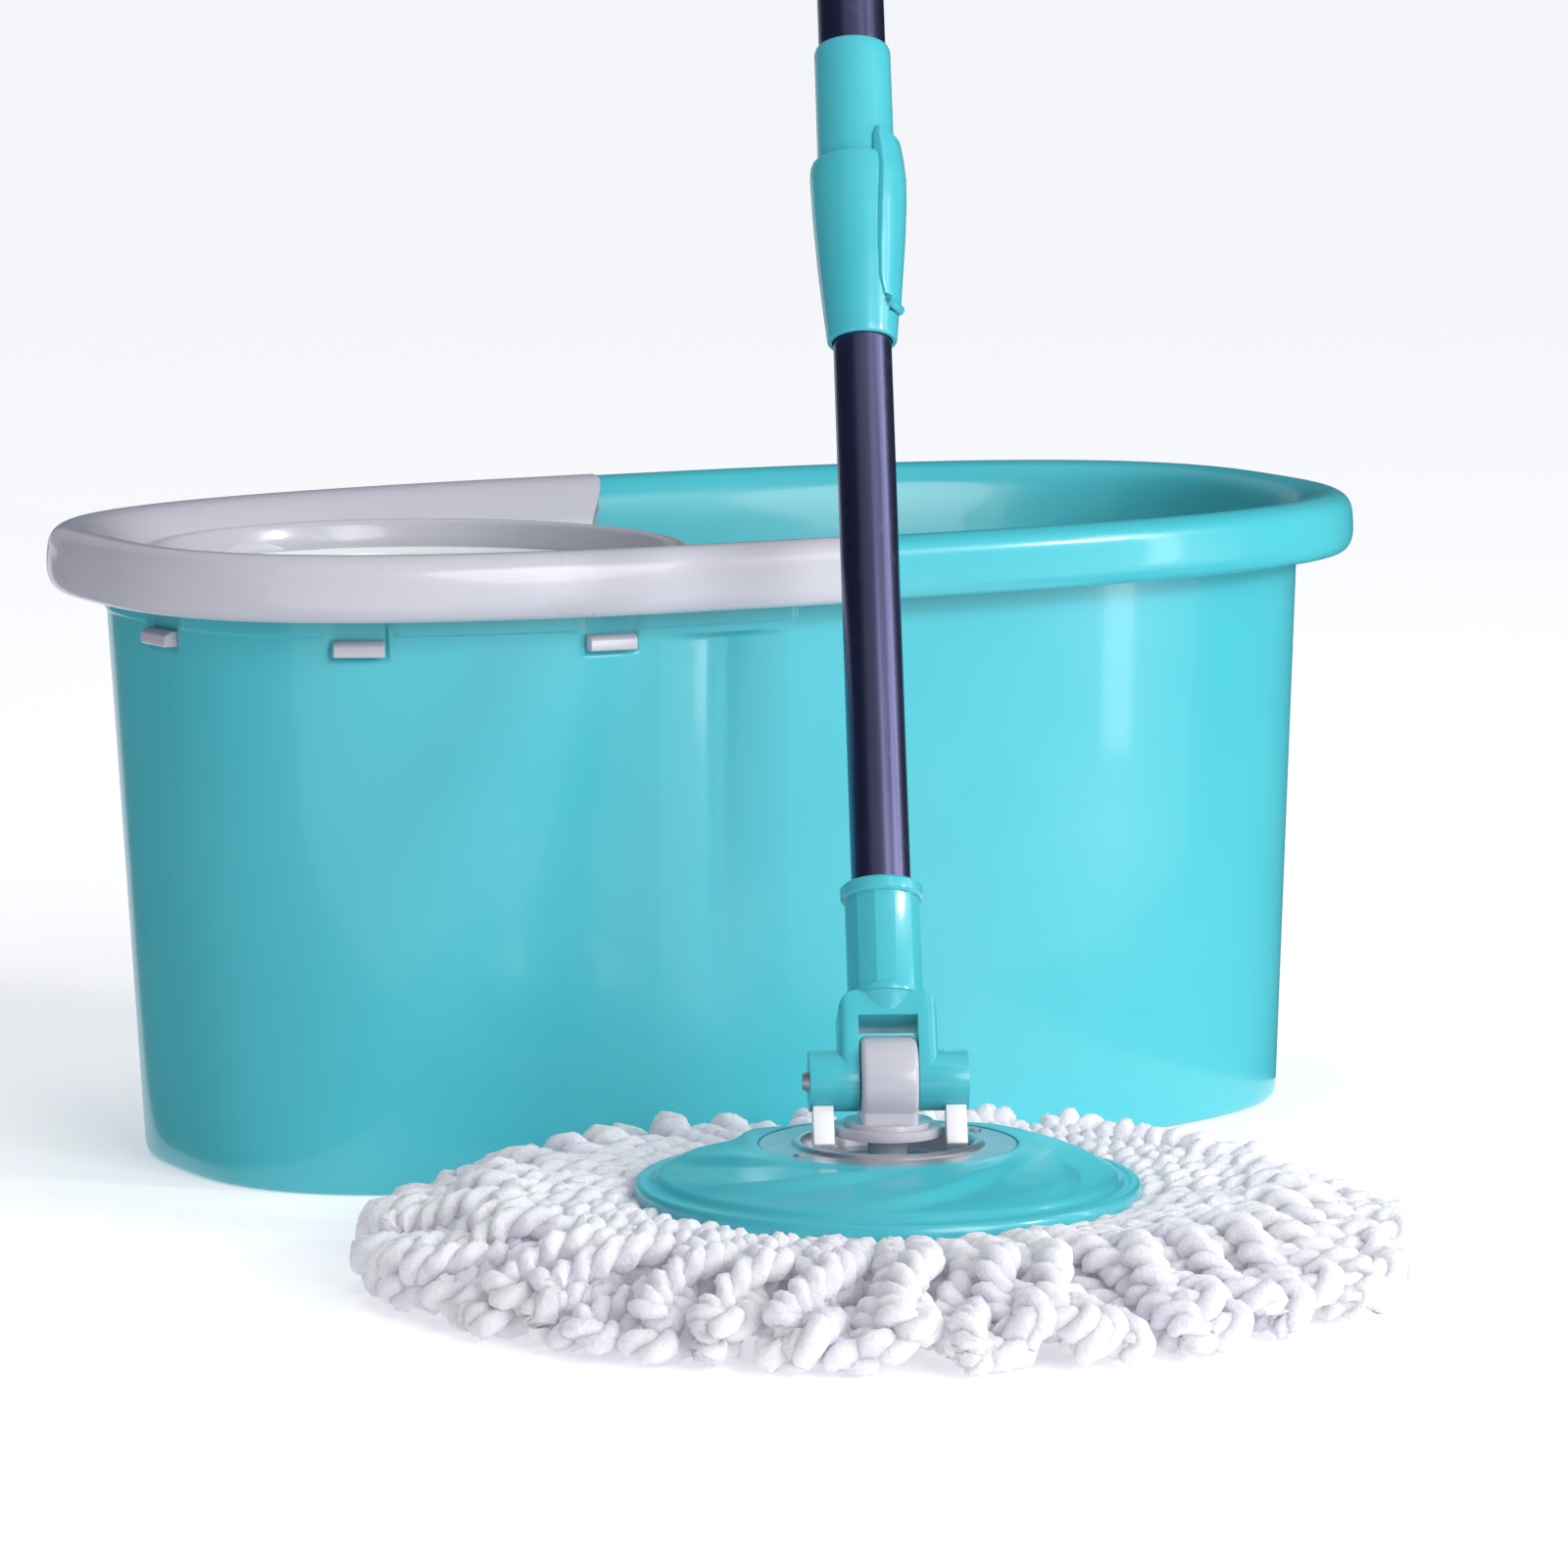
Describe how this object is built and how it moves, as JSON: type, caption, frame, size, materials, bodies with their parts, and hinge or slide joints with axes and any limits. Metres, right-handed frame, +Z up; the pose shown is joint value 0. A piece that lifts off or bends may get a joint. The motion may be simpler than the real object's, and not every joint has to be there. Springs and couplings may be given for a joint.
{
  "type": "spin mop",
  "caption": "Spin mop set: two-lobed bucket with spin insert and basket, and a press-handle mop with a round yarn head.",
  "frame": {"origin": "middle of the bucket's base, on the floor", "axes": "+X along the bucket towards its water end, +Y from the mop towards the bucket, +Z up"},
  "size_m": [0.4814, 0.5654, 0.8841],
  "materials": {
    "teal_gloss": "glossy moulded plastic",
    "grey_gloss": "glossy moulded plastic",
    "white_plastic": "satin moulded plastic",
    "basket_plastic": "pale semi-gloss plastic",
    "tube_metal": "polished dark tube with a violet cast",
    "bright_steel": "bright steel",
    "brass": "turned brass",
    "yarn": "soft twisted microfibre yarn"
  },
  "bodies": {
    "bucket": {"bucket_shell": "teal_gloss", "spin_insert": "grey_gloss", "spindle_seat": "white_plastic", "seat_screws": "bright_steel", "spindle": "bright_steel", "thrust_washer": "brass", "spindle_nut": "bright_steel"},
    "basket": {"spin_basket": "basket_plastic", "basket_hub": "grey_gloss", "basket_bearing": "brass"},
    "mop_base": {"swivel_post": "grey_gloss", "post_washer": "bright_steel", "post_screw": "bright_steel"},
    "mop_head": {"head_plate": "teal_gloss", "steel_ring": "bright_steel", "ring_rivets": "bright_steel", "yarn_carrier": "white_plastic", "yarn_fringe": "yarn", "swivel_bearing": "brass"},
    "lower_pole": {"yoke": "teal_gloss", "locking_feet": "white_plastic", "hinge_pin": "bright_steel", "lower_tube": "tube_metal", "drive_housing": "white_plastic", "drive_cap": "white_plastic"},
    "nut": {"drive_nut": "brass"},
    "upper_pole": {"upper_tube": "tube_metal", "clamp_liner": "white_plastic", "clamp_collar": "teal_gloss", "clamp_sleeve": "teal_gloss", "lever_pin": "bright_steel", "rod_plug": "white_plastic", "spin_rod": "bright_steel", "handle_grip": "teal_gloss", "end_cap": "teal_gloss"},
    "lever": {"clamp_lever": "teal_gloss"}
  },
  "joints": [
    {"name": "basket_spin", "type": "hinge", "parent": "bucket", "child": "basket", "pos_m": [-0.114, 0, 0.1], "axis": [0, 0, 1], "continuous": true},
    {"name": "mop_lift", "type": "slide", "parent": "bucket", "child": "mop_base", "axis": [0, -0.6, 0.8], "range_m": [0, 0.5]},
    {"name": "head_swivel", "type": "hinge", "parent": "mop_base", "child": "mop_head", "pos_m": [-0.0814, -0.2695, 0.03], "axis": [0, 0, 1], "continuous": true},
    {"name": "handle_tilt", "type": "hinge", "parent": "mop_base", "child": "lower_pole", "pos_m": [-0.0814, -0.2695, 0.062], "axis": [0.9063, -0.4226, 0], "range_deg": [-14, 113]},
    {"name": "handle_press", "type": "slide", "parent": "lower_pole", "child": "upper_pole", "axis": [0.1984, 0.4255, 0.8829], "range_m": [-0.17, 0.2]},
    {"name": "nut_spin", "type": "hinge", "parent": "lower_pole", "child": "nut", "pos_m": [0.02743, -0.03612, 0.5463], "axis": [0.1984, 0.4255, 0.8829], "range_deg": [-560, 660]},
    {"name": "lever_open", "type": "hinge", "parent": "upper_pole", "child": "lever", "pos_m": [-0.02188, -0.16611, 0.29667], "axis": [0.7439, 0.5211, -0.4183], "range_deg": [0, 75]}
  ],
  "couplings": [
    {"joint": "nut_spin", "follows": "handle_press", "rad_per_m": 57.12}
  ]
}
